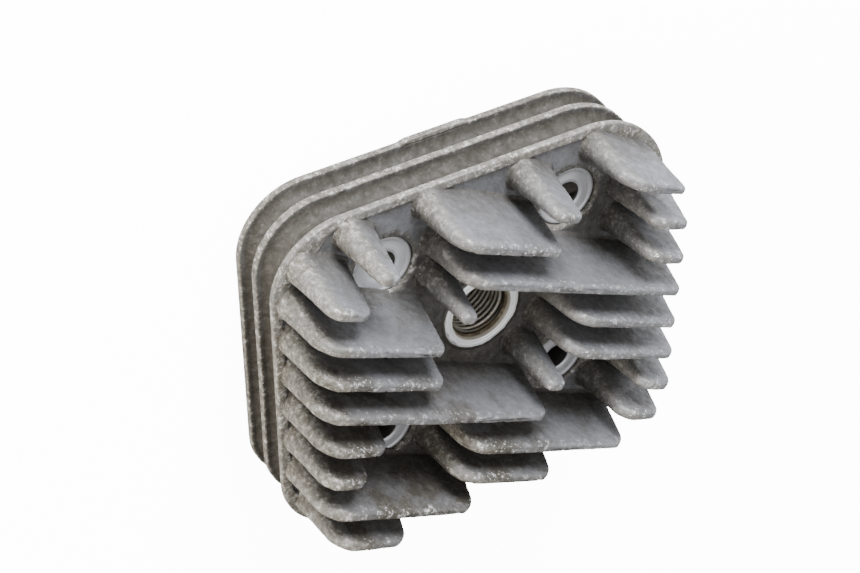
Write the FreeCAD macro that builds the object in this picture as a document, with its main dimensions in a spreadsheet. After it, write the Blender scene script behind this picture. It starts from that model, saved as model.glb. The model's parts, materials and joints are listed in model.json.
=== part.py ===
"""Air-cooled two-stroke cylinder head, divided into its plates, bosses and fins.

Frame: the origin is the cylinder's bore axis on the gasket face, +Z points up along the
spark plug's hole, +X runs along the long side of the plates and +Y along the short side.
"""
import FreeCAD, Part
import math
import os

# Driving dimensions in millimetres and degrees.
SIZES = {
    # rounded plates, all centred on one line beside the bore axis
    "plate_width": 95.6,
    "plate_depth": 81.0,
    "plate_shift": -2.0,
    "corner_radius": 15.5,
    "back_right_radius": 20.5,
    "deck_growth": 1.1,
    "core_inset": 3.5,
    # heights above the gasket face
    "flange_thick": 1.6,
    "middle_low": 7.1,
    "middle_thick": 1.7,
    "deck_low": 16.7,
    "deck_top": 18.4,
    "stud_seat": 17.3,
    "plug_seat": 18.1,
    "tip_height": 36.5,
    # four cylinder studs
    "stud_spacing": 46.0,
    "stud_hole_radius": 3.1,
    "stud_boss_radius": 7.3,
    # spark plug hole, M14 x 1.25 at its minor diameter
    "plug_x": 1.5,
    "plug_y": 0.5,
    "plug_bore_radius": 6.325,
    "plug_sink_radius": 7.5,
    "plug_sink_depth": 1.2,
    "plug_boss_radius": 10.2,
    # combustion chamber
    "chamber_radius": 20.25,
    "squish_depth": 1.0,
    "dome_height": 6.4,
    "dome_radius": 15.0,
    "dome_body_radius": 22.0,
    # cooling fins
    "fin_angle": -25.0,
    "fin_pitch": 8.3,
    "first_row": 43.6,
    "root_thick": 6.0,
    "tip_thick": 2.6,
    "lead_radius": 6.0,
    "lead_share": 0.5,
    "trail_radius": 2.4,
    "trail_share": 0.3,
}

# Each fin: its row, counted from the back right corner, where its root starts and ends
# along the row, measured from the point of the row nearest the bore axis, and how many
# degrees its trailing edge leans inwards.
FINS = {
    "fin_1_right": (0, 8.0, 26.3, 9.0),
    "fin_2_middle": (1, -8.5, 3.0, 16.0),
    "fin_2_right": (1, 20.0, 36.6, 23.0),
    "fin_3_left": (2, -30.0, 1.8, 16.0),
    "fin_3_right": (2, 23.0, 40.5, 23.0),
    "fin_4_left": (3, -46.2, -37.0, 16.0),
    "fin_4_right": (3, -24.0, 44.2, 23.0),
    "fin_5_left": (4, -54.6, -40.4, 16.0),
    "fin_5_middle": (4, -21.3, -13.3, 16.0),
    "fin_5_right": (4, 11.0, 48.0, 23.0),
    "fin_6_left": (5, -53.4, -17.4, 16.0),
    "fin_6_right": (5, 13.8, 52.0, 23.0),
    "fin_7_left": (6, -49.8, -13.6, 16.0),
    "fin_7_middle": (6, 11.0, 20.3, 16.0),
    "fin_7_right": (6, 40.0, 56.0, 23.0),
    "fin_8_left": (7, -45.8, 19.6, 16.0),
    "fin_8_right": (7, 38.5, 57.0, 23.0),
    "fin_9_left": (8, -42.0, -21.2, 16.0),
    "fin_9_right": (8, -3.5, 50.2, 23.0),
    "fin_10_left": (9, -38.2, -22.4, 16.0),
    "fin_10_right": (9, -2.2, 32.0, 23.0),
    "fin_11_left": (10, -34.4, 12.8, 23.0),
    "fin_12_left": (11, -28.0, -2.5, 23.0),
}
STUDS = {
    "stud_boss_back_left": (-1, 1),
    "stud_boss_back_right": (1, 1),
    "stud_boss_front_left": (-1, -1),
    "stud_boss_front_right": (1, -1),
}
CUT_PAST = 1.0  # how far a cut reaches past the faces it opens, in millimetres
TINY = 1e-6  # how closely an edge's place has to agree, in millimetres

doc = FreeCAD.newDocument("cylinder_head")
sheet = doc.addObject("Spreadsheet::Sheet", "Sizes")
for row, (alias, value) in enumerate(SIZES.items(), start=1):
    sheet.set(f"A{row}", alias)
    sheet.set(f"B{row}", str(value))
    sheet.setAlias(f"B{row}", alias)
doc.recompute()
nodes = []


def new_body(name):
    """One sub-part, whose Label becomes its node name."""
    body = doc.addObject("PartDesign::Body", name)
    body.Label = name
    nodes.append(body)
    return body


def feature(body, kind, name, **bindings):
    """A PartDesign feature whose properties follow expressions of the sheet's cells."""
    made = body.newObject(f"PartDesign::{kind}", f"{body.Name}_{name}")
    for prop, formula in bindings.items():
        made.setExpression(prop, formula)
    return made


def place(made, **formulas):
    """Put a feature or body at x, y and z given as expressions."""
    for axis, formula in formulas.items():
        made.setExpression(f"Placement.Base.{axis}", formula)


def fillet(body, base, name, radius, wanted):
    """Round the edges of base that the test picks, with a radius from the sheet."""
    doc.recompute()
    picked = [f"Edge{i}" for i, edge in enumerate(base.Shape.Edges, start=1) if wanted(edge)]
    rounded = feature(body, "Fillet", name, Radius=radius)
    rounded.Base = (base, picked)
    return rounded


def slab(body, kind, name, growth, low, high):
    """A square-cornered plate or opening, larger than the gasket face by growth."""
    made = feature(body, f"{kind}Box", name,
                   Length=f"Sizes.plate_width + 2 * ({growth})",
                   Width=f"Sizes.plate_depth + 2 * ({growth})",
                   Height=f"({high}) - ({low})")
    place(made, x=f"-Sizes.plate_width / 2 - ({growth})",
          y=f"Sizes.plate_shift - Sizes.plate_depth / 2 - ({growth})", z=low)
    return made


def round_corners(body, base, name, square, growth):
    """Round the four upright corners of a slab that is part of base, the back right one most."""
    def stands_at_corner(edge, back_right):
        middle = edge.CenterOfMass
        beyond = middle.y - sheet.plate_shift
        at_corner = (abs(abs(middle.x) - square.Length.Value / 2) < TINY
                     and abs(abs(beyond) - square.Width.Value / 2) < TINY)
        return at_corner and (middle.x > 0 and beyond > 0) == back_right

    three = fillet(body, base, name, f"Sizes.corner_radius + ({growth})",
                   lambda edge: stands_at_corner(edge, False))
    return fillet(body, three, f"{name}_back_right", f"Sizes.back_right_radius + ({growth})",
                  lambda edge: stands_at_corner(edge, True))


def rounded_plate(body, growth, low, high):
    """A flat plate with round corners."""
    square = slab(body, "Additive", "plate", growth, low, high)
    round_corners(body, square, "corners", square, growth)


def bore(body, name, radius, x="0", y="0", high="Sizes.tip_height"):
    """An upright round hole from below the gasket face up to a height."""
    hole = feature(body, "SubtractiveCylinder", name, Radius=radius,
                   Height=f"{high} + {CUT_PAST}")
    place(hole, x=x, y=y, z=f"-{CUT_PAST}")


def stud_place(side_x, side_y):
    """Expressions for the centre of one stud."""
    return f"{side_x} * Sizes.stud_spacing / 2", f"{side_y} * Sizes.stud_spacing / 2"


def stud_sockets(body):
    """The four holes that the stud bosses fill."""
    for name, sides in STUDS.items():
        x, y = stud_place(*sides)
        bore(body, f"for_{name}", "Sizes.stud_boss_radius", x, y)


def plug_socket(body):
    """The hole that the spark plug's boss fills."""
    bore(body, "for_plug_boss", "Sizes.plug_boss_radius", "Sizes.plug_x", "Sizes.plug_y")


def chamber(body):
    """The squish recess and the dome above it."""
    bore(body, "squish", "Sizes.chamber_radius", high="Sizes.squish_depth")
    rise = "(Sizes.dome_height - Sizes.squish_depth)"
    radius = f"(Sizes.dome_radius ^ 2 + {rise} ^ 2) / (2 * {rise})"
    dome = feature(body, "SubtractiveSphere", "dome", Radius=radius)
    place(dome, z=f"Sizes.dome_height - {radius}")


def gasket_flange():
    body = new_body("gasket_flange")
    rounded_plate(body, "0", "0", "Sizes.flange_thick")
    stud_sockets(body)
    bore(body, "for_dome", "Sizes.dome_body_radius")


def core_block():
    body = new_body("core_block")
    rounded_plate(body, "-Sizes.core_inset", "Sizes.flange_thick", "Sizes.deck_low")
    stud_sockets(body)
    bore(body, "for_dome", "Sizes.dome_body_radius")


def middle_flange():
    body = new_body("middle_flange")
    high = "Sizes.middle_low + Sizes.middle_thick"
    plate = slab(body, "Additive", "plate", "0", "Sizes.middle_low", high)
    opening = slab(body, "Subtractive", "for_core", "-Sizes.core_inset",
                   f"Sizes.middle_low - {CUT_PAST}", f"{high} + {CUT_PAST}")
    inside = round_corners(body, opening, "inner_corners", opening, "-Sizes.core_inset")
    round_corners(body, inside, "corners", plate, "0")


def deck_plate():
    body = new_body("deck_plate")
    rounded_plate(body, "Sizes.deck_growth", "Sizes.deck_low", "Sizes.deck_top")
    stud_sockets(body)
    plug_socket(body)


def combustion_dome():
    body = new_body("combustion_dome")
    feature(body, "AdditiveCylinder", "block", Radius="Sizes.dome_body_radius",
            Height="Sizes.deck_low")
    plug_socket(body)
    chamber(body)


def plug_boss():
    body = new_body("plug_boss")
    column = feature(body, "AdditiveCylinder", "column", Radius="Sizes.plug_boss_radius",
                     Height="Sizes.plug_seat")
    place(column, x="Sizes.plug_x", y="Sizes.plug_y")
    chamber(body)
    bore(body, "thread", "Sizes.plug_bore_radius", "Sizes.plug_x", "Sizes.plug_y")
    sink = feature(body, "SubtractiveCone", "sink", Radius1="Sizes.plug_bore_radius",
                   Radius2="Sizes.plug_sink_radius", Height="Sizes.plug_sink_depth")
    place(sink, x="Sizes.plug_x", y="Sizes.plug_y",
          z="Sizes.plug_seat - Sizes.plug_sink_depth")


def stud_boss(name, sides):
    body = new_body(name)
    x, y = stud_place(*sides)
    column = feature(body, "AdditiveCylinder", "column", Radius="Sizes.stud_boss_radius",
                     Height="Sizes.stud_seat")
    place(column, x=x, y=y)
    bore(body, "hole", "Sizes.stud_hole_radius", x, y)


def fin(name, number, start, end, lean):
    """One tapered fin: an upright leading edge, and a trailing edge that leans inwards."""
    body = new_body(name)
    rise = "(Sizes.tip_height - Sizes.deck_top)"
    top_end = f"{end} - {rise} * tan({lean} * 1 deg)"
    wedge = feature(body, "AdditiveWedge", "blade",
                    Xmin=f"{start}", Xmax=f"{end}", X2min=f"{start}", X2max=top_end,
                    Ymin="0", Ymax=rise,
                    Zmin="-Sizes.root_thick / 2", Zmax="Sizes.root_thick / 2",
                    Z2min="-Sizes.tip_thick / 2", Z2max="Sizes.tip_thick / 2")
    rise_value = sheet.tip_height - sheet.deck_top

    def crosses_top(edge, leading):
        ends = [vertex.Point for vertex in edge.Vertexes]
        on_top = all(abs(point.y - rise_value) < TINY for point in ends)
        across = abs(ends[0].x - ends[1].x) < TINY
        return on_top and across and (abs(ends[0].x - start) < TINY) == leading

    top_run = f"({top_end} - {start})"
    front = fillet(body, wedge, "lead", f"min(Sizes.lead_radius; {top_run} * Sizes.lead_share)",
                   lambda edge: crosses_top(edge, True))
    fillet(body, front, "trail", f"min(Sizes.trail_radius; {top_run} * Sizes.trail_share)",
           lambda edge: crosses_top(edge, False))
    stand_up = FreeCAD.Rotation(FreeCAD.Vector(1, 0, 0), 90)
    turn = FreeCAD.Rotation(FreeCAD.Vector(0, 0, 1), sheet.fin_angle)
    body.Placement = FreeCAD.Placement(FreeCAD.Vector(), turn * stand_up)
    across_rows = f"(Sizes.first_row - {number} * Sizes.fin_pitch)"
    place(body, x=f"-sin(Sizes.fin_angle * 1 deg) * {across_rows}",
          y=f"cos(Sizes.fin_angle * 1 deg) * {across_rows}", z="Sizes.deck_top")


gasket_flange()
core_block()
middle_flange()
deck_plate()
combustion_dome()
plug_boss()
for boss_name, boss_sides in STUDS.items():
    stud_boss(boss_name, boss_sides)
for fin_name, layout in FINS.items():
    fin(fin_name, *layout)
doc.recompute()

for item in doc.Objects:
    faults = [state for state in item.State if state in ("Invalid", "Error")]
    if faults:
        raise RuntimeError(f"{item.Name} is {faults}")
os.makedirs("parts", exist_ok=True)
for node in nodes:
    if node.Shape.isNull() or not node.Shape.isValid():
        raise RuntimeError(f"{node.Label} has no valid shape")
    node.Shape.exportStep(f"parts/{node.Label}.step")
    print(node.Label, round(node.Shape.Volume), "cubic mm")
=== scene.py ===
"""The looks of the cylinder head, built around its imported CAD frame. Lengths are in metres."""
import json
import math
import bmesh
import bpy
from mathutils import Matrix, Vector, noise
from mathutils.geometry import delaunay_2d_cdt


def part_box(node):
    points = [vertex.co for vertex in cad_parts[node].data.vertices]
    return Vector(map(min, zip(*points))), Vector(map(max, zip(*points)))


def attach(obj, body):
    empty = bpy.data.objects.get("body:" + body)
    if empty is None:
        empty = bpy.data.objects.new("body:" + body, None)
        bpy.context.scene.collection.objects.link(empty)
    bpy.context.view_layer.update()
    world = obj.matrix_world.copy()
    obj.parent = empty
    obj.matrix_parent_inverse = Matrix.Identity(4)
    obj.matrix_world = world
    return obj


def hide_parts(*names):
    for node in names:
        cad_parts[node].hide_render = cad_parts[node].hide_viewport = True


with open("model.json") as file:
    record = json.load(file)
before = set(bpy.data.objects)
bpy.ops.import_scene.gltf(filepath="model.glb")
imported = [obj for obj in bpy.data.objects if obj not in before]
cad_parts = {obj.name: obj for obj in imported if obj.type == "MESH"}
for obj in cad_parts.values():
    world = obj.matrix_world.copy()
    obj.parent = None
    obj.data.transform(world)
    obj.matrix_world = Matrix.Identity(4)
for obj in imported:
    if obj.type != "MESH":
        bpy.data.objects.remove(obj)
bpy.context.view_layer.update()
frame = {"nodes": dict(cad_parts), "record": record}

MM = 0.001

# Sizes that the CAD boxes do not give
CORNER = 15.5 * MM
BACK_RIGHT_CORNER = 20.5 * MM
FIN_ANGLE = math.radians(-25)
SQUISH_DEPTH = 1.0 * MM
DOME_HEIGHT = 6.4 * MM
DOME_RADIUS = 15.0 * MM
THREAD_PITCH = 1.25 * MM

# How uneven the cast skin is: broad swells, fine grain, and the plates' share of both
SWELL = 0.10 * MM
GRAIN = 0.045 * MM
PLATE_ROUGH = 0.12

# How much painted shade darkens the two lower plates, where 1 is full
FLANGE_SHADE = 0.84

# Cast details of the plates
RIM_RADIUS = 0.22 * MM
RIM_SHOULDER = 0.45 * MM
PLATE_INSET = 0.9 * MM
PAD_DEPTH = 0.55 * MM
PAD_CENTRE = -0.6 * MM
WIDE_HOLLOW = 2.9 * MM
TIGHT_HOLLOW = 0.9 * MM
CORE_SINK = 0.3 * MM
CORE_WALL = 12 * MM
DECK_RIM_RADIUS = 0.4 * MM
LIP_WIDTH = 2.1 * MM
LIP_DROP = 0.5 * MM
CORNER_LIP = 3.2 * MM
GROOVE = 0.22 * MM

# Cast details of the fins
LEAD_RADIUS = 6.0 * MM
TRAIL_RADIUS = 1.4 * MM
TRAIL_GROWTH = 0.24 * MM
TIP_ROUND = 0.75 * MM
TIP_SLIMMER = 0.2 * MM
TIP_SHIFT = -0.15 * MM
TAIL_SPARE = 0.8 * MM
ROOT_FLARE = 0.8 * MM
FOOT_SINK = 0.3 * MM
FIN_BEND = 0.22 * MM
SKIN = 0.12 * MM
FIN_STEP = 0.55 * MM
END_STEPS = 10
PAW = 0.24
PAW_REACH = (9 * MM, 2 * MM)

# How the fins' wear grows towards their edges: from none at the first distance to full
NOSE_EDGE = (4.0 * MM, 1.2 * MM)
TIP_EDGE = (3.0 * MM, 0.3 * MM)
TAIL_EDGE = (1.6 * MM, 0.2 * MM)
CHIP_SIZE = 1.3 * MM
CHIP_DEPTH = 0.75 * MM

# Turned details of the bosses
SEAT_STEP = 6.05 * MM
SEAT_CUT = 0.14 * MM
BROKEN_EDGE = 0.35 * MM
THREAD_DEPTH = 0.68 * MM
THREAD_TOP_DROP = 1.75 * MM
THREAD_LOW = 5.7 * MM
STEPS_PER_TURN = 14

# The picture: the camera's lens, place and axes (millimetres), the floor and the light
CAMERA_LENS = 82.49
CAMERA_PLACE = (-181.39, 275.82, 290.24)
CAMERA_RIGHT = (0.8507, 0.0044, 0.5257)
CAMERA_BACK = (-0.4091, 0.6336, 0.6567)
FLOOR_HEIGHT = -0.4 * MM
FLOOR_GLOW = 12.0
ROOM_LIGHT = 0.90
COOL_LIGHT = (0.91, 0.94, 1.0)
WARM_LIGHT = (1.0, 0.94, 0.85)

flange_low, flange_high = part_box("gasket_flange")
middle_low, middle_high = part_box("middle_flange")
core_low, core_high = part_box("core_block")
deck_low, deck_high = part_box("deck_plate")
plug_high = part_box("plug_boss")[1]
PLATE_X, PLATE_Y = (flange_low[0] + flange_high[0]) / 2, (flange_low[1] + flange_high[1]) / 2
HALF_X, HALF_Y = flange_high[0] - PLATE_X, flange_high[1] - PLATE_Y
DECK_GROWTH = deck_high[0] - flange_high[0]
CORE_GROWTH = core_high[0] - flange_high[0]
DECK_FLOOR = deck_high[2] - LIP_DROP
STUDS = [name for name in frame["nodes"] if name.startswith("stud_boss")]
FINS = [name for name in frame["nodes"] if name.startswith("fin_")]
mounts = {mount["name"]: mount for mount in frame["record"]["mounts"]}
STUD_HOLE = mounts["stud_pattern"]["dims"]["hole_r_mm"] * MM
THREAD_MINOR = mounts["spark_plug_hole"]["dims"]["r_mm"] * MM
along = Vector((math.cos(FIN_ANGLE), math.sin(FIN_ANGLE), 0))
across = Vector((-math.sin(FIN_ANGLE), math.cos(FIN_ANGLE), 0))


# ---------------------------------------------------------------- mesh helpers

def fractal(point, size, octaves=3):
    """Smooth noise between about -1 and 1, whose features are about size across."""
    return noise.fractal(Vector(point) / size, 1.0, 2.0, octaves)


def finish_mesh(name, mesh, replaced):
    """Link a mesh as a shaded piece of the head that stands for one CAD node."""
    mesh.shade_smooth()
    piece = bpy.data.objects.new(name, mesh)
    bpy.context.scene.collection.objects.link(piece)
    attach(piece, "root")
    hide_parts(replaced)
    return piece


def store(mesh, name, values):
    """Keep one number per vertex for the material."""
    layer = mesh.attributes.new(name, "FLOAT", "POINT")
    layer.data.foreach_set("value", values)


def mesh_of(name, bm):
    """Make a mesh whose normals point outwards."""
    bmesh.ops.recalc_face_normals(bm, faces=bm.faces)
    mesh = bpy.data.meshes.new(name)
    bm.to_mesh(mesh)
    bm.free()
    return mesh


def closed_mesh(name, bm):
    """Merge the matching vertices of separate patches, and make a mesh."""
    bmesh.ops.remove_doubles(bm, verts=bm.verts, dist=0.002 * MM)
    return mesh_of(name, bm)


def roughen(mesh, masks):
    """Give a mesh the uneven skin of an old die casting, as strong as its mask."""
    normals = [vertex.normal.copy() for vertex in mesh.vertices]
    for vertex, normal, mask in zip(mesh.vertices, normals, masks):
        if mask > 0:
            lift = (SWELL * fractal(vertex.co, 9 * MM, 2)
                    + GRAIN * fractal(vertex.co, 1.6 * MM, 3))
            vertex.co += normal * lift * mask


def ramp_between(value, start, end):
    """0 at start, 1 at end and smooth between them."""
    share = min(1.0, max(0.0, (value - start) / (end - start)))
    return share * share * (3 - 2 * share)


def grid_faces(bm, rows, wrap_rows=False):
    """Quads between closed rings of vertices."""
    pairs = list(zip(rows, rows[1:]))
    if wrap_rows:
        pairs.append((rows[-1], rows[0]))
    for lower, upper in pairs:
        for i in range(len(lower)):
            j = (i + 1) % len(lower)
            bm.faces.new((lower[i], lower[j], upper[j], upper[i]))


# ---------------------------------------------------------------- plates

def corner_radius(side_x, side_y):
    """The gasket flange's corner radius in one quarter of the plate."""
    return BACK_RIGHT_CORNER if side_x > 0 and side_y > 0 else CORNER


def plate_outline(step=0.9 * MM):
    """Points and outward directions round the gasket flange's edge."""
    corners = []
    for side_x, side_y in ((1, 1), (-1, 1), (-1, -1), (1, -1)):
        radius = corner_radius(side_x, side_y)
        corners.append((Vector((PLATE_X + side_x * (HALF_X - radius),
                                PLATE_Y + side_y * (HALF_Y - radius))), radius))
    samples = []
    for index, (centre, radius) in enumerate(corners):
        turns = math.ceil(radius * math.pi / 2 / step)
        for turn in range(turns + 1):
            angle = math.radians(90 * (index + turn / turns))
            out = Vector((math.cos(angle), math.sin(angle)))
            samples.append((centre + out * radius, out))
        last, out = samples[-1]
        next_centre, next_radius = corners[(index + 1) % 4]
        target = next_centre + out * next_radius
        count = math.ceil((target - last).length / step)
        samples += [(last.lerp(target, i / count), out) for i in range(1, count)]
    return samples


OUTLINE = plate_outline()


def edge_distance(x, y):
    """How far a point lies outside the gasket flange's outline, negative inside it."""
    radius = corner_radius(x - PLATE_X, y - PLATE_Y)
    past_x = abs(x - PLATE_X) - (HALF_X - radius)
    past_y = abs(y - PLATE_Y) - (HALF_Y - radius)
    return math.hypot(max(past_x, 0), max(past_y, 0)) + min(max(past_x, past_y), 0) - radius


def outward(point):
    """Unit direction away from the plates' outline at a point."""
    step = 0.05 * MM
    here = edge_distance(point.x, point.y)
    slope = Vector((edge_distance(point.x + step, point.y) - here,
                    edge_distance(point.x, point.y + step) - here, 0))
    return slope.normalized()


def sweep(bm, profile, closed=False, extra=lambda point, out, growth: 0.0):
    """Carry a profile of (growth, height) points round the plate's outline."""
    rows = []
    for growth, height in profile:
        rows.append([bm.verts.new((*(point + out * (growth + extra(point, out, growth))), height))
                     for point, out in OUTLINE])
    grid_faces(bm, rows, wrap_rows=closed)


def round_edge(growth, height, radius, start, steps=4):
    """Profile points of a rounded rim corner, turning 90 degrees from a start angle."""
    points = []
    for i in range(steps + 1):
        angle = math.radians(start + 90 * i / steps)
        points.append((growth + radius * math.cos(angle), height + radius * math.sin(angle)))
    return points


def circle(x, y, radius, count):
    """Points of a level circle."""
    return [Vector((x + radius * math.cos(2 * math.pi * i / count),
                    y + radius * math.sin(2 * math.pi * i / count))) for i in range(count)]


def flat_fill(bm, growth, height, holes, step=1.6 * MM, inset=lambda out: 0.0):
    """A flat face inside the outline, with round holes, as small triangles."""
    def inside(spot, margin):
        limit = growth - inset(outward(spot).to_2d())
        return edge_distance(*spot) < limit - margin

    rim = [point + out * (growth - inset(out)) for point, out in OUTLINE]
    points, loops = list(rim), [list(range(len(rim)))]
    for x, y, radius, count in holes:
        start = len(points)
        points += circle(x, y, radius, count)
        loops.append(list(range(start, start + count))[::-1])
    edges = [(loop[i], loop[(i + 1) % len(loop)]) for loop in loops for i in range(len(loop))]
    xs = range(math.floor(flange_low[0] / step), math.ceil(flange_high[0] / step))
    ys = range(math.floor(flange_low[1] / step), math.ceil(flange_high[1] / step))
    for i in xs:
        for j in ys:
            spot = Vector(((i + 0.5 * (j % 2)) * step, j * step))
            clear = all((spot - Vector((x, y))).length > radius + step / 2
                        for x, y, radius, _ in holes)
            if clear and inside(spot, step / 2):
                points.append(spot)
    verts, _, faces, *_ = delaunay_2d_cdt(points, edges, [], 0, 1e-7)
    made = [bm.verts.new((*vert, height)) for vert in verts]
    for face in faces:
        middle = sum((verts[i] for i in face), Vector((0, 0))) / len(face)
        in_metal = all((middle - Vector((x, y))).length > radius * math.cos(math.pi / count) - 1e-6
                       for x, y, radius, count in holes)
        if in_metal and inside(middle, 0.0):
            bm.faces.new([made[i] for i in face])


def hole_walls(bm, holes, heights):
    """Upright walls of round holes."""
    for x, y, radius, count in holes:
        rows = [[bm.verts.new((*point, height)) for point in circle(x, y, radius, count)]
                for height in heights]
        grid_faces(bm, rows)


def centre_of(name):
    """A round node's centre and radius, seen from above."""
    low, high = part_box(name)
    return (low[0] + high[0]) / 2, (low[1] + high[1]) / 2, (high[0] - low[0]) / 2


STUD_SOCKETS = [(*centre_of(name), 48) for name in STUDS]
PLUG_SOCKET = (*centre_of("plug_boss"), 72)
DOME_SOCKET = (*centre_of("combustion_dome"), 96)


def rim_wear(mesh, growth, full, none):
    """1 on a plate's outer rim as far in as full, then falling to 0 where none is reached."""
    depths = [growth - edge_distance(v.co.x, v.co.y) for v in mesh.vertices]
    return [min(1.0, max(0.0, (none - depth) / (none - full))) for depth in depths]


def cast_piece(name, mesh, wear, painted_shade, replaced, chipped=None, rough=lambda point: 1.0):
    """Roughen a cast mesh, store where it is worn, where it gets painted shade and where it is
    chipped, and make it a piece.
    """
    roughen(mesh, [rough(vertex.co) for vertex in mesh.vertices])
    store(mesh, "wear", wear)
    store(mesh, "painted_shade", painted_shade)
    store(mesh, "chipped", chipped or wear)
    piece = finish_mesh(name, mesh, replaced)
    piece.data.materials.append(cast_metal)


def gasket_flange():
    """The bottom plate, with a low cast pad in the middle of its back edge."""
    bm = bmesh.new()
    low, high = flange_low[2], flange_high[2]
    bevel = 0.15 * MM

    def pad(point, _out, _growth):
        if point.y < flange_high[1] - 0.1 * MM:
            return 0.0
        return PAD_DEPTH * ramp_between(abs(point.x - PAD_CENTRE), 8.8 * MM, 6.8 * MM)

    profile = ([(-PLATE_INSET, low), (-bevel, low), (0, low + bevel)]
               + round_edge(-RIM_RADIUS, high - RIM_RADIUS, RIM_RADIUS, 0)
               + [(-RIM_SHOULDER, high), (-PLATE_INSET, high)])
    sweep(bm, profile, extra=pad)
    holes = STUD_SOCKETS + [DOME_SOCKET]
    flat_fill(bm, -PLATE_INSET, low, holes)
    flat_fill(bm, -PLATE_INSET, high, holes)
    hole_walls(bm, holes, (low, high))
    mesh = closed_mesh("gasket_flange_cast", bm)
    wear = rim_wear(mesh, 0, RIM_RADIUS, 0.5 * MM)
    cast_piece("gasket_flange_cast", mesh, wear, [FLANGE_SHADE] * len(wear), "gasket_flange",
               rough=lambda point: 0.0 if point.z < low + 0.1 * MM else PLATE_ROUGH)


def middle_flange():
    """The plate half way up, a ring round the core."""
    bm = bmesh.new()
    low, high = middle_low[2], middle_high[2]
    inner = CORE_GROWTH - 2 * MM
    profile = ([(inner, low), (CORE_GROWTH, low)]
               + round_edge(-RIM_RADIUS, low + RIM_RADIUS, RIM_RADIUS, 270)
               + round_edge(-RIM_RADIUS, high - RIM_RADIUS, RIM_RADIUS, 0)
               + [(-RIM_SHOULDER, high), (-PLATE_INSET, high), (CORE_GROWTH, high), (inner, high)])
    sweep(bm, profile, closed=True)
    mesh = closed_mesh("middle_flange_cast", bm)
    wear = rim_wear(mesh, 0, RIM_RADIUS, 0.5 * MM)
    cast_piece("middle_flange_cast", mesh, wear, [FLANGE_SHADE] * len(wear), "middle_flange",
               rough=lambda point: PLATE_ROUGH)


def waist(low, high):
    """Profile of the core between two plates: a wide hollow curve below and a tight one above."""
    start = low - 0.08 * MM
    end = high + 0.05 * MM
    wide = [math.radians(angle) for angle in range(0, 91, 9)]
    tight = [math.radians(angle) for angle in range(0, 91, 15)]
    lower = [(CORE_GROWTH + WIDE_HOLLOW * (1 - math.sin(turn)),
              start + WIDE_HOLLOW * (1 - math.cos(turn))) for turn in wide]
    upper = [(CORE_GROWTH + TIGHT_HOLLOW * (1 - math.cos(turn)),
              end - TIGHT_HOLLOW * (1 - math.sin(turn))) for turn in tight]
    return ([(CORE_GROWTH, low - CORE_SINK), (CORE_GROWTH + WIDE_HOLLOW, low - CORE_SINK)]
            + lower + upper
            + [(CORE_GROWTH + TIGHT_HOLLOW, high + CORE_SINK), (CORE_GROWTH, high + CORE_SINK)])


def core_block():
    """The waisted block between the plates."""
    bm = bmesh.new()
    profile = (waist(core_low[2], middle_low[2]) + waist(middle_high[2], core_high[2])
               + [(CORE_GROWTH - CORE_WALL, core_high[2] + CORE_SINK),
                  (CORE_GROWTH - CORE_WALL, core_low[2] - CORE_SINK)])
    sweep(bm, profile, closed=True)
    mesh = closed_mesh("core_block_cast", bm)
    count = len(mesh.vertices)
    # The whole core gets full painted shade, as it lies in the gaps between the plates
    cast_piece("core_block_cast", mesh, [0.0] * count, [1.0] * count, "core_block",
               rough=lambda point: PLATE_ROUGH)


def corner_lip(out):
    """How much wider the lip is where the outline faces diagonally."""
    return CORNER_LIP * (2 * abs(out.x * out.y)) ** 2


def cut_walls(mesh):
    """1 on the walls that the spot facing cutter left round the stud seats."""
    def cut(co):
        return any(abs(math.hypot(co.x - x, co.y - y) - radius) < 0.02 * MM
                   for x, y, radius, _ in STUD_SOCKETS)
    return [1.0 if cut(vertex.co) else 0.0 for vertex in mesh.vertices]


def deck_plate():
    """The top plate: a worn rim with a flat lip, grooved off from the floor under the fins."""
    bm = bmesh.new()
    low, high = deck_low[2], deck_high[2]
    edge = DECK_GROWTH - DECK_RIM_RADIUS
    lip = DECK_GROWTH - LIP_WIDTH
    floor_edge = lip - 1.0 * MM
    holes = STUD_SOCKETS + [PLUG_SOCKET]
    profile = (round_edge(edge, low + DECK_RIM_RADIUS, DECK_RIM_RADIUS, 270)
               + round_edge(edge, high - DECK_RIM_RADIUS, DECK_RIM_RADIUS, 0)
               + [(lip + 0.5 * MM, high), (lip + 0.12 * MM, high - 0.02 * MM),
                  (lip, high - 0.12 * MM), (lip - 0.08 * MM, DECK_FLOOR - GROOVE),
                  (lip - 0.3 * MM, DECK_FLOOR - GROOVE), (lip - 0.5 * MM, DECK_FLOOR),
                  (floor_edge, DECK_FLOOR)])

    def widen(_point, out, growth):
        return -corner_lip(out) if growth < lip + 0.2 * MM else 0.0

    sweep(bm, profile, extra=widen)
    flat_fill(bm, edge, low, holes)
    flat_fill(bm, floor_edge, DECK_FLOOR, holes, inset=corner_lip)
    hole_walls(bm, holes, (low, DECK_FLOOR))
    mesh = closed_mesh("deck_plate_cast", bm)
    rim = [1.0 if vertex.co.z > DECK_FLOOR + 0.2 * MM else worn for vertex, worn
           in zip(mesh.vertices, rim_wear(mesh, DECK_GROWTH, 0.6 * MM, LIP_WIDTH))]
    wear = [max(worn, cut) for worn, cut in zip(rim, cut_walls(mesh))]
    # Painted shade over the whole deck, deeper towards the middle among the fins
    painted_shade = [0.45 + 0.45 * ramp_between(-edge_distance(vertex.co.x, vertex.co.y), 8 * MM, 20 * MM)
            for vertex in mesh.vertices]
    cast_piece("deck_plate_cast", mesh, wear, painted_shade, "deck_plate",
               rough=lambda point: PLATE_ROUGH)


# ---------------------------------------------------------------- fins

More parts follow.
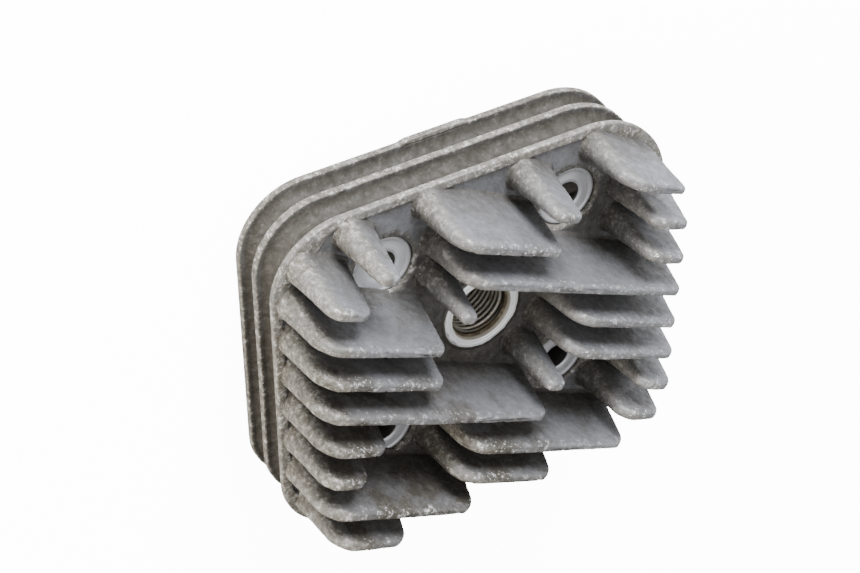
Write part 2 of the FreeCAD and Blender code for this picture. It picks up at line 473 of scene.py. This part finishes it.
def fin_layout(name):
    """Read a fin's place, run, heights and thickness from its CAD mesh, and plan its corners."""
    points = [vertex.co for vertex in frame["nodes"][name].data.vertices]
    low = min(point.z for point in points)
    high = max(point.z for point in points)
    root = [point for point in points if point.z < low + 0.1 * MM]
    top = [point for point in points if point.z > high - 0.1 * MM]
    upper = [point for point in points if point.z > low + MM]
    row = sum(point @ across for point in root) / len(root)
    start = min(point @ along for point in root)
    end = max(point @ along for point in root)
    shoulder = max(upper, key=lambda point: point @ along)
    lean = (end - shoulder @ along) / (shoulder.z - low)
    root_half = max(point @ across for point in root) - row
    tip_half = max(point @ across for point in top) - row - TIP_SLIMMER
    height = high - SKIN - low
    top_run = end - start - lean * height
    row_number = int(name.split("_")[1])
    return {"row": row, "start": start, "end": end, "low": low, "high": high - SKIN,
            "height": height, "lean": lean, "root_half": root_half, "tip_half": tip_half,
            "lead_radius": min(LEAD_RADIUS, 0.42 * top_run),
            "trail_radius": min(TRAIL_RADIUS + TRAIL_GROWTH * row_number, 0.4 * top_run)}


def corner_inset(radius, below):
    """How far a rounded corner pulls in at a distance below the top."""
    if below >= radius:
        return 0.0
    return radius - math.sqrt(radius ** 2 - (radius - below) ** 2)


def fin_heights(plan):
    """Heights of a fin's rings, close together at its flared foot and its rounded tip."""
    foot = [DECK_FLOOR - FOOT_SINK + 0.22 * MM * i for i in range(7)]
    shoulder = plan["high"] - TIP_ROUND
    count = math.ceil((shoulder - foot[-1]) / FIN_STEP)
    body = [foot[-1] + (shoulder - foot[-1]) * i / count for i in range(1, count + 1)]
    crown = [shoulder + TIP_ROUND * math.sin(math.radians(15 * i)) for i in range(1, 6)]
    return foot + body + crown + [plan["high"] - 0.012 * MM]


def stations(start, end, nose, tail, count):
    """Steps round a fin: how far along its row, and which side, 1 or -1 on its flat faces."""
    def end_arc(centre, radius, first_angle):
        for i in range(END_STEPS + 1):
            angle = math.radians(first_angle + 180 * i / END_STEPS)
            yield centre + radius * math.cos(angle), math.sin(angle)

    first, last = start + nose, end - tail
    yield from end_arc(first, nose, 90)
    yield from ((first + (last - first) * i / count, -1.0) for i in range(1, count))
    yield from end_arc(last, tail, 270)
    yield from ((last + (first - last) * i / count, 1.0) for i in range(1, count))


def fin_ring(plan, level, count):
    """A fin's outline at one height: each point with its wear, chips and painted shade."""
    rise = (level - plan["low"]) / plan["height"]
    below = plan["high"] - level
    half = (plan["root_half"] + (plan["tip_half"] - plan["root_half"]) * rise
            - corner_inset(TIP_ROUND, below))
    spread = corner_inset(ROOT_FLARE, max(level - DECK_FLOOR, 0.0))
    start = plan["start"] + corner_inset(plan["lead_radius"], below) - 0.4 * spread
    end = plan["end"] - plan["lean"] * (level - plan["low"]) + TAIL_SPARE * rise
    end -= corner_inset(plan["trail_radius"], below) - spread
    length = end - start
    nose = min(half + spread, 0.35 * length)
    tail_share = 0.7 if length > 6 * MM else 0.85
    for run, side in stations(start, end, nose, 0.4 * nose, count):
        thin = 1 - (1 - tail_share) * ramp_between(run, end - 0.6 * length, end)
        paw = PAW * (1 - max(rise, 0.0)) ** 2 * ramp_between(run - start, *PAW_REACH)
        offset = side * (half * (thin + paw) + spread) + TIP_SHIFT * rise
        point = along * run + across * (plan["row"] + offset)
        over = edge_distance(point.x, point.y) - DECK_GROWTH + 0.1 * MM
        if over > 0:
            point -= over * outward(point)
        point.z = level
        nose_wear = 0.5 + 0.4 * ramp_between(point.x, 0.0, -30 * MM)
        near_nose = nose_wear * ramp_between(run - start, *NOSE_EDGE)
        near_tip = ramp_between(below, *TIP_EDGE)
        near_tail = 0.5 * ramp_between(end - run, *TAIL_EDGE)
        # The last value is painted shade, darkest at the fin's root and fading towards its tip
        yield (point, max(0.12 * near_tip, near_nose), max(near_tip, 0.45 * near_nose, near_tail),
               0.85 * (1 - rise) ** 1.25)


def chip_edges(mesh, chipped):
    """Small dents knocked out of the fins' tips and corners."""
    normals = [vertex.normal.copy() for vertex in mesh.vertices]
    for vertex, normal, chance in zip(mesh.vertices, normals, chipped):
        if chance > 0.2:
            dent = noise.noise(vertex.co / CHIP_SIZE + Vector((7, 3, 1)))
            vertex.co -= normal * max(0.0, dent - 0.28) * chance * CHIP_DEPTH


def fin(name):
    """A cast fin: tapered and slightly bent, with a rounded tip and nose and a flared root."""
    plan = fin_layout(name)
    count = max(8, math.ceil((plan["end"] - plan["start"]) / FIN_STEP))
    bm = bmesh.new()
    rows, wear, chipped, painted_shade = [], [], [], []
    for level in fin_heights(plan):
        row = []
        for point, worn, chip, darkened in fin_ring(plan, level, count):
            row.append(bm.verts.new(point))
            wear.append(worn)
            chipped.append(chip)
            painted_shade.append(darkened)
        rows.append(row)
    grid_faces(bm, rows)
    bm.faces.new(rows[0][::-1])
    bm.faces.new(rows[-1])
    mesh = mesh_of(f"{name}_cast", bm)
    place = Vector((plan["row"], plan["start"], 0)) * 40
    for vertex in mesh.vertices:
        rise = max(0.0, (vertex.co.z - plan["low"]) / plan["height"])
        vertex.co += across * FIN_BEND * rise * noise.noise(place + vertex.co / (30 * MM))
    chip_edges(mesh, chipped)
    cast_piece(f"{name}_cast", mesh, wear, painted_shade, name, chipped)


# ---------------------------------------------------------------- machined bosses

def as_drawn(radius, height, _angle):
    """The profile's own radius and height, all the way round."""
    return radius, height


def turned(name, centre, profile, count, replaced, shape=as_drawn):
    """Turn a closed profile of (radius, height) about an upright axis, reshaped by angle."""
    bm = bmesh.new()
    rows = []
    for radius, height in profile:
        row = []
        for i in range(count):
            angle = 2 * math.pi * i / count
            reach, level = shape(radius, height, angle)
            row.append(bm.verts.new((centre[0] + reach * math.cos(angle),
                                     centre[1] + reach * math.sin(angle), level)))
        rows.append(row)
    grid_faces(bm, rows, wrap_rows=True)
    mesh = mesh_of(name, bm)
    radii = [math.hypot(v.co.x - centre[0], v.co.y - centre[1]) for v in mesh.vertices]
    store(mesh, "turn_radius", [radius / MM for radius in radii])
    return finish_mesh(name, mesh, replaced)


def stud_boss(name):
    """A stud's column: its spot face with a cutter's step, and its hole with a broken edge."""
    x, y, radius = centre_of(name)
    low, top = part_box(name)[0][2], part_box(name)[1][2]
    seat = top - SEAT_CUT
    profile = [(radius, low), (radius, top - 0.3 * MM), (6.9 * MM, top - 0.05 * MM),
               (6.75 * MM, top), (SEAT_STEP + 0.15 * MM, top),
               (SEAT_STEP, top - 0.12 * MM), (SEAT_STEP - 0.15 * MM, seat),
               (5.4 * MM, seat), (4.4 * MM, seat), (STUD_HOLE + BROKEN_EDGE, seat),
               (STUD_HOLE, seat - BROKEN_EDGE), (STUD_HOLE, top - 5 * MM),
               (STUD_HOLE, low + BROKEN_EDGE), (STUD_HOLE + BROKEN_EDGE, low)]
    piece = turned(f"{name}_machined", (x, y), profile, 96, name)
    piece.data.materials.append(machined_metal)


def dome_height(x, y):
    """Height of the combustion dome's surface over a point."""
    rise = DOME_HEIGHT - SQUISH_DEPTH
    ball = (DOME_RADIUS ** 2 + rise ** 2) / (2 * rise)
    return DOME_HEIGHT - ball + math.sqrt(ball ** 2 - x ** 2 - y ** 2)


def plug_boss():
    """The plug's seat of turned rings, its countersink, and the thread down to the dome."""
    x, y, radius = centre_of("plug_boss")
    seat = plug_high[2]
    thread_top = seat - THREAD_TOP_DROP
    root = THREAD_MINOR + THREAD_DEPTH
    count = math.ceil((thread_top - THREAD_LOW) / THREAD_PITCH * STEPS_PER_TURN)
    thread = [(root, thread_top - (thread_top - THREAD_LOW) * i / count)
              for i in range(count + 1)]
    # (radius, height above the seat) in millimetres, from the outer edge to the countersink
    rings = [(10.2, -0.24), (9.8, -0.24), (9.6, -0.22), (9.45, -0.16), (9.35, -0.03),
             (9.2, 0.0), (8.8, 0.0), (8.42, 0.0), (8.34, -0.05), (8.28, -0.2), (8.2, -0.2),
             (8.14, -0.08), (8.05, -0.06), (7.8, -0.06), (7.62, -0.1), (7.5, -0.25),
             (7.3, -0.8), (7.15, -1.3), (7.1, -1.6)]
    seat_rings = [(ring * MM, seat + lift * MM) for ring, lift in rings]
    chamber = [(THREAD_MINOR, THREAD_LOW - 0.2 * MM), (THREAD_MINOR, 0.0), (8.0 * MM, 0.0),
               (radius, 0.0)]

    def shape(at_radius, height, angle):
        if (at_radius, height) in thread:
            phase = (height / THREAD_PITCH - angle / (2 * math.pi)) % 1
            flank = ramp_between(abs(2 * phase - 1), 0.12, 0.8)
            entry = ramp_between(height, thread_top, thread_top - 1.0 * MM)
            return root - THREAD_DEPTH * flank * entry, height
        if height == 0.0:
            return at_radius, dome_height(x + at_radius * math.cos(angle),
                                          y + at_radius * math.sin(angle))
        if 9.3 * MM < at_radius < 9.7 * MM:
            place = Vector((math.cos(angle), math.sin(angle), 0.3))
            return at_radius + 0.28 * MM * fractal(place, 0.22), height
        return at_radius, height

    piece = turned("plug_boss_machined", (x, y), seat_rings + thread + chamber, 180, "plug_boss",
                   shape)
    piece.data.materials.append(plug_metal)


# ---------------------------------------------------------------- materials

def nodes_of(material):
    """A material's node tree and its main shader."""
    material.use_nodes = True
    tree = material.node_tree
    return tree, tree.nodes["Principled BSDF"]


def add(tree, kind, **settings):
    """Add a shader node; capitalised settings are inputs, others are properties."""
    node = tree.nodes.new(f"ShaderNode{kind}")
    for key, value in settings.items():
        if key[0].isupper():
            node.inputs[key.replace("_", " ")].default_value = value
        else:
            setattr(node, key, value)
    return node


def wire(tree, source, target):
    """Connect an output to an input."""
    tree.links.new(source, target)


def noise_node(tree, place, scale, detail=6.0, roughness=0.6):
    """Noise over a place, whose scale is in cycles per metre."""
    node = add(tree, "TexNoise", Scale=scale, Detail=detail, Roughness=roughness)
    wire(tree, place, node.inputs["Vector"])
    return node.outputs["Fac"]


def ramp(tree, source, stops):
    """Map a value through positions and grey levels or colours."""
    node = add(tree, "ValToRGB")
    elements = node.color_ramp.elements
    while len(elements) < len(stops):
        elements.new(0.5)
    for element, (position, level) in zip(elements, stops):
        element.position = position
        element.color = (level, level, level, 1) if isinstance(level, float) else (*level, 1)
    wire(tree, source, node.inputs["Fac"])
    return node.outputs["Color"]


def mix(tree, factor, first, second):
    """Blend two colours; each argument is a value or another node's output."""
    node = add(tree, "Mix", data_type="RGBA")
    for socket, value in ((node.inputs["Factor"], factor), (node.inputs[6], first),
                          (node.inputs[7], second)):
        if isinstance(value, bpy.types.NodeSocket):
            wire(tree, value, socket)
        elif isinstance(value, tuple):
            socket.default_value = (*value, 1)
        else:
            socket.default_value = value
    return node.outputs[2]


def math_node(tree, operation, first, second):
    """Arithmetic on two values or outputs of other nodes."""
    node = add(tree, "Math", operation=operation)
    for socket, value in zip(node.inputs, (first, second)):
        if isinstance(value, bpy.types.NodeSocket):
            wire(tree, value, socket)
        else:
            socket.default_value = value
    return node.outputs["Value"]


def attribute(tree, name):
    """A number stored on the mesh's vertices."""
    return add(tree, "Attribute", attribute_name=name).outputs["Fac"]


def map_range(tree, source, from_min, from_max, to_min, to_max):
    """Map one range of values smoothly to another."""
    node = add(tree, "MapRange", interpolation_type="SMOOTHSTEP", From_Min=from_min,
               From_Max=from_max, To_Min=to_min, To_Max=to_max)
    wire(tree, source, node.inputs["Value"])
    return node.outputs["Result"]


# Tones of the casting along its mottled noise, as (position, colour), and its pale spots
CLEAN_TONES = [(0.32, (0.106, 0.106, 0.111)), (0.5, (0.137, 0.138, 0.146)),
               (0.68, (0.176, 0.177, 0.188))]
# The dark tones stand for both dirt and painted shade
DIRT_AND_SHADE_TONES = [(0.35, (0.026, 0.023, 0.017)), (0.65, (0.052, 0.047, 0.038))]
WORN_TONES = [(0.37, (0.088, 0.079, 0.061)), (0.5, (0.154, 0.143, 0.121)),
              (0.66, (0.275, 0.262, 0.236))]
CORROSION = (0.40, 0.395, 0.385)
BARE_METAL = (0.60, 0.60, 0.58)


def cast_material():
    """Weathered die-cast aluminium: mottled grey, brown dirt in patches and towards the front
    left, painted brown shade low down and between parts, pale chipped edges.
    """
    material = bpy.data.materials.new("weathered_casting")
    tree, shader = nodes_of(material)
    place = add(tree, "TexCoord").outputs["Object"]
    axes = add(tree, "SeparateXYZ")
    wire(tree, place, axes.inputs["Vector"])
    wear, painted_shade, chipped = (attribute(tree, name) for name in ("wear", "painted_shade", "chipped"))
    cloudy = noise_node(tree, place, 110.0, 5.0, 0.6)
    mottle = noise_node(tree, place, 520.0, 6.0, 0.7)
    specks = noise_node(tree, place, 950.0, 5.0, 0.7)
    grain = noise_node(tree, place, 1500.0, 4.0, 0.65)
    fine = noise_node(tree, place, 4200.0, 3.0, 0.6)
    clean = ramp(tree, mottle, CLEAN_TONES)
    slope = math_node(tree, "ADD", axes.outputs["Y"],
                      math_node(tree, "MULTIPLY", axes.outputs["X"], 0.9))
    front = map_range(tree, slope, -0.002, -0.040, 0.0, 0.85)
    patches = map_range(tree, cloudy, 0.40, 0.62, -0.25, 0.4)
    open_skin = math_node(tree, "SUBTRACT", 1.0, painted_shade)
    uneven = math_node(tree, "MULTIPLY", math_node(tree, "ADD", front, patches), open_skin)
    # The darkening adds the painted shade to the dirt
    dirt_and_shade = math_node(tree, "ADD", uneven, painted_shade)
    dark_tone = ramp(tree, mottle, DIRT_AND_SHADE_TONES)
    darkened = mix(tree, ramp(tree, dirt_and_shade, [(0.0, 0.0), (1.0, 0.95)]), clean, dark_tone)
    worn_tone = ramp(tree, specks, WORN_TONES)
    worn_share = math_node(tree, "MULTIPLY", wear, map_range(tree, mottle, 0.40, 0.58, 0.5, 1.0))
    worn = mix(tree, worn_share, darkened, worn_tone)
    chips = ramp(tree, grain, [(0.61, 0.0), (0.67, 1.0)])
    clusters = map_range(tree, cloudy, 0.44, 0.58, 0.0, 1.0)
    chip_share = math_node(tree, "MULTIPLY", chips, math_node(tree, "ADD", 0.05, chipped))
    chip_share = math_node(tree, "MULTIPLY", chip_share, clusters)
    bloom = math_node(tree, "MULTIPLY", map_range(tree, specks, 0.52, 0.60, 0.0, 0.85),
                      map_range(tree, mottle, 0.50, 0.58, 0.0, 1.0))
    bloom = math_node(tree, "MULTIPLY", bloom, math_node(tree, "ADD", 0.06, chipped))
    corroded = mix(tree, bloom, worn, CORROSION)
    colour = mix(tree, chip_share, corroded, BARE_METAL)
    wire(tree, colour, shader.inputs["Base Color"])
    wire(tree, map_range(tree, mottle, 0.3, 0.7, 0.68, 0.46), shader.inputs["Roughness"])
    # Reflections fade where dirt and painted shade lie
    wire(tree, map_range(tree, dirt_and_shade, 0.0, 1.0, 0.4, 0.0), shader.inputs["Metallic"])
    sheen = map_range(tree, dirt_and_shade, 0.2, 1.0, 0.5, 0.12)
    wire(tree, sheen, shader.inputs["Specular IOR Level"])
    relief = math_node(tree, "ADD", grain, math_node(tree, "MULTIPLY", fine, 0.35))
    bump = add(tree, "Bump", Strength=0.6, Distance=0.22 * MM)
    wire(tree, relief, bump.inputs["Height"])
    wire(tree, bump.outputs["Normal"], shader.inputs["Normal"])
    return material


class TurnedMetal:
    """Turned aluminium: fine rings about the hole, with dirt in patches. Radii are in mm."""

    def __init__(self, name, bright, dull, dark_tone, dirt_level):
        self.material = bpy.data.materials.new(name)
        self.tree, self.shader = nodes_of(self.material)
        place = add(self.tree, "TexCoord").outputs["Object"]
        self.radius = attribute(self.tree, "turn_radius")
        rings = add(self.tree, "TexNoise", noise_dimensions="1D", Scale=9.0, Detail=5.0)
        wire(self.tree, self.radius, rings.inputs["W"])
        self.rings = rings.outputs["Fac"]
        self.blotch = noise_node(self.tree, place, 420.0, 5.0)
        ringed = ramp(self.tree, self.rings, [(0.35, 0.0), (0.65, 1.0)])
        shade = mix(self.tree, ringed, dull, bright)
        patches = ramp(self.tree, self.blotch, [(dirt_level, 0.0), (dirt_level + 0.14, 0.85)])
        self.colour = mix(self.tree, patches, shade, dark_tone)

    def paint(self, from_radius, to_radius, colour, cover=1.0):
        """Lay a colour over the part between two radii, strongest at the second one."""
        share = map_range(self.tree, self.radius, from_radius, to_radius, 0.0, cover)
        self.colour = mix(self.tree, share, self.colour, colour)

    def stain(self, start, end, least, most, base, stain):
        """A base colour with blotches of a stain."""
        share = map_range(self.tree, self.blotch, start, end, least, most)
        return mix(self.tree, share, base, stain)

    def finish(self):
        """Connect the colour, roughness and fine turned relief, and give the material."""
        wire(self.tree, self.colour, self.shader.inputs["Base Color"])
        roughness = ramp(self.tree, self.blotch, [(0.35, 0.32), (0.7, 0.5)])
        wire(self.tree, roughness, self.shader.inputs["Roughness"])
        self.shader.inputs["Metallic"].default_value = 0.5
        bump = add(self.tree, "Bump", Strength=0.35, Distance=0.06 * MM)
        wire(self.tree, self.rings, bump.inputs["Height"])
        wire(self.tree, bump.outputs["Normal"], self.shader.inputs["Normal"])
        return self.material


def spot_face_material():
    """Dull turned rings round a stud hole, with a bore darkened by painted shade and a darker
    outer step.
    """
    metal = TurnedMetal("spot_faces", bright=(0.46, 0.46, 0.47), dull=(0.36, 0.36, 0.37),
                        dark_tone=(0.14, 0.13, 0.11), dirt_level=0.60)
    # Painted shade: the bore is near black
    metal.paint(3.45, 3.15, (0.035, 0.033, 0.03))
    metal.paint(6.8, 7.1, (0.10, 0.095, 0.085), cover=0.8)
    return metal.finish()


def plug_material():
    """A clean seat, a tan countersink, a thread with painted shade in its roots and brown deposits
    over it, and a dark outer ring.
    """
    metal = TurnedMetal("plug_seat", bright=(0.93, 0.93, 0.92), dull=(0.80, 0.80, 0.79),
                        dark_tone=(0.28, 0.24, 0.17), dirt_level=0.66)
    metal.paint(7.73, 7.43, (0.62, 0.58, 0.50))
    countersink = metal.stain(0.4, 0.6, 0.2, 0.9, (0.50, 0.43, 0.31), (0.17, 0.13, 0.08))
    metal.paint(7.32, 7.18, countersink)
    # Painted shade: the thread's roots near black, its crests lighter
    thread_root_shade = map_range(metal.tree, metal.radius, 6.45, 6.95, 0.0, 1.0)
    turns = mix(metal.tree, thread_root_shade, (0.34, 0.32, 0.27), (0.018, 0.016, 0.012))
    metal.paint(7.06, 7.02, metal.stain(0.45, 0.65, 0.0, 0.6, turns, (0.13, 0.09, 0.05)))
    metal.paint(9.35, 9.6, (0.06, 0.054, 0.042))
    return metal.finish()


def dome_material():
    """The combustion side: turned metal under brown and black carbon towards the middle."""
    material = bpy.data.materials.new("carboned_chamber")
    tree, shader = nodes_of(material)
    place = add(tree, "TexCoord").outputs["Object"]
    flat = add(tree, "VectorMath", operation="MULTIPLY")
    flat.inputs[1].default_value = (1, 1, 0)
    wire(tree, place, flat.inputs[0])
    span = add(tree, "VectorMath", operation="LENGTH")
    wire(tree, flat.outputs["Vector"], span.inputs[0])
    radius = math_node(tree, "MULTIPLY", span.outputs["Value"], 1 / MM)
    rings = add(tree, "TexNoise", noise_dimensions="1D", Scale=5.0, Detail=5.0)
    wire(tree, radius, rings.inputs["W"])
    blotch = noise_node(tree, place, 160.0, 6.0, 0.65)
    metal = mix(tree, rings.outputs["Fac"], (0.42, 0.41, 0.39), (0.62, 0.61, 0.59))
    carbon = mix(tree, blotch, (0.03, 0.026, 0.02), (0.13, 0.10, 0.07))
    inner = add(tree, "MapRange", From_Min=15.5, From_Max=19.5, To_Min=0.95, To_Max=0.15)
    wire(tree, radius, inner.inputs["Value"])
    cover = math_node(tree, "MULTIPLY", inner.outputs["Result"],
                      ramp(tree, blotch, [(0.3, 0.75), (0.55, 1.0)]))
    wire(tree, mix(tree, cover, metal, carbon), shader.inputs["Base Color"])
    wire(tree, ramp(tree, blotch, [(0.3, 0.45), (0.7, 0.8)]), shader.inputs["Roughness"])
    shader.inputs["Metallic"].default_value = 0.5
    bump = add(tree, "Bump", Strength=0.4, Distance=0.1 * MM)
    wire(tree, math_node(tree, "ADD", rings.outputs["Fac"], blotch), bump.inputs["Height"])
    wire(tree, bump.outputs["Normal"], shader.inputs["Normal"])
    return material


cast_metal = cast_material()
machined_metal = spot_face_material()
plug_metal = plug_material()
chamber_metal = dome_material()


# ---------------------------------------------------------------- stage

def camera():
    """The view down on the fins from the back left corner, with the head turned in the picture."""
    lens_data = bpy.data.cameras.new("camera")
    lens_data.lens = CAMERA_LENS
    lens_data.sensor_width = 36.0
    lens_data.clip_start = 0.01
    view = bpy.data.objects.new("camera", lens_data)
    bpy.context.scene.collection.objects.link(view)
    right = Vector(CAMERA_RIGHT).normalized()
    back = Vector(CAMERA_BACK).normalized()
    up = back.cross(right).normalized()
    turn = Matrix((right, up, back)).transposed().to_4x4()
    view.matrix_world = Matrix.Translation(Vector(CAMERA_PLACE) * MM) @ turn
    bpy.context.scene.camera = view


def area_light(name, place, size, power, colour):
    """A round lamp that points at the head."""
    data = bpy.data.lights.new(name, "AREA")
    data.shape = "DISK"
    data.size = size
    data.energy = power
    data.color = colour
    light = bpy.data.objects.new(name, data)
    light.location = place
    light.rotation_euler = (-Vector(place)).to_track_quat("-Z", "Y").to_euler()
    bpy.context.scene.collection.objects.link(light)


def stage():
    """A pale floor that looks pure white in the picture, a soft room and three lamps."""
    bpy.ops.mesh.primitive_plane_add(size=6, location=(0, 0, FLOOR_HEIGHT))
    floor = bpy.context.object
    floor.name = "floor"
    paper = bpy.data.materials.new("pale_floor")
    tree, shader = nodes_of(paper)
    shader.inputs["Base Color"].default_value = (0.95, 0.95, 0.95, 1)
    shader.inputs["Emission Color"].default_value = (1, 1, 1, 1)
    seen = add(tree, "LightPath").outputs["Is Camera Ray"]
    wire(tree, math_node(tree, "MULTIPLY", seen, FLOOR_GLOW), shader.inputs["Emission Strength"])
    shader.inputs["Roughness"].default_value = 0.9
    floor.data.materials.append(paper)
    world = bpy.data.worlds.new("soft_room")
    world.use_nodes = True
    background = world.node_tree.nodes["Background"]
    background.inputs["Color"].default_value = (1.0, 0.99, 0.97, 1)
    background.inputs["Strength"].default_value = ROOM_LIGHT
    bpy.context.scene.world = world
    area_light("back_softbox", (0.06, 0.80, 0.27), 0.40, 26, COOL_LIGHT)
    area_light("left_softbox", (-0.78, -0.05, 0.20), 0.45, 10.5, WARM_LIGHT)
    area_light("top_softbox", (0.1, 0.1, 0.9), 0.7, 3.5, COOL_LIGHT)


camera()
stage()
gasket_flange()
middle_flange()
core_block()
deck_plate()
for fin_name in FINS:
    fin(fin_name)
for stud_name in STUDS:
    stud_boss(stud_name)
plug_boss()
dome = frame["nodes"]["combustion_dome"]
dome.data.materials.clear()
dome.data.materials.append(chamber_metal)
